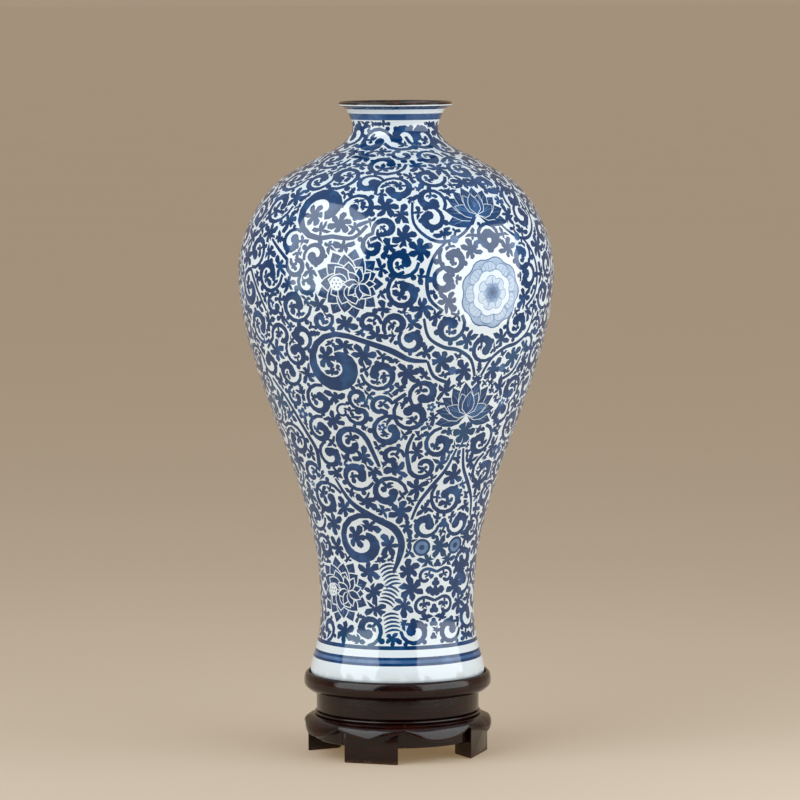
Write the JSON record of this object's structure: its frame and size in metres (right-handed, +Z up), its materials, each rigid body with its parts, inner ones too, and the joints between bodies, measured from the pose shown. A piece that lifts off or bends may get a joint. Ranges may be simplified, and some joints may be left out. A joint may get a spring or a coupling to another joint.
{
  "type": "porcelain vase",
  "caption": "Blue-and-white porcelain baluster vase with a short flared neck, lifting off a round waisted hardwood stand.",
  "frame": {"origin": "on the table, under the middle of the stand", "axes": "+Z up along the axis of the vase, -Y towards the front, +X to the right"},
  "size_m": [0.1862, 0.1862, 0.3865],
  "materials": {
    "porcelain": "clear glossy glaze over white porcelain, painted in cobalt blue, with a brown-glazed lip",
    "lacquered_wood": "glossy dark red-brown lacquer on hardwood",
    "raw_wood": "unfinished, hidden",
    "felt": "matt felt"
  },
  "bodies": {
    "stand": {"stand_top": "lacquered_wood", "waist_ring": "lacquered_wood", "collar_moulding": "lacquered_wood", "leg_front": "lacquered_wood", "leg_right": "lacquered_wood", "leg_back": "lacquered_wood", "leg_left": "lacquered_wood", "apron_front_right": "lacquered_wood", "apron_back_right": "lacquered_wood", "apron_back_left": "lacquered_wood", "apron_front_left": "lacquered_wood", "dowel_front": "raw_wood", "dowel_right": "raw_wood", "dowel_back": "raw_wood", "dowel_left": "raw_wood"},
    "liner": {"well_liner": "felt"},
    "vase": {"vase_body": "porcelain"}
  },
  "joints": [
    {"name": "vase_turn", "type": "hinge", "parent": "stand", "child": "liner", "pos_m": [0, 0, 0.0456], "axis": [0, 0, 1], "continuous": true},
    {"name": "vase_lift", "type": "slide", "parent": "liner", "child": "vase", "axis": [0, 0, 1], "range_m": [0, 0.06]}
  ]
}
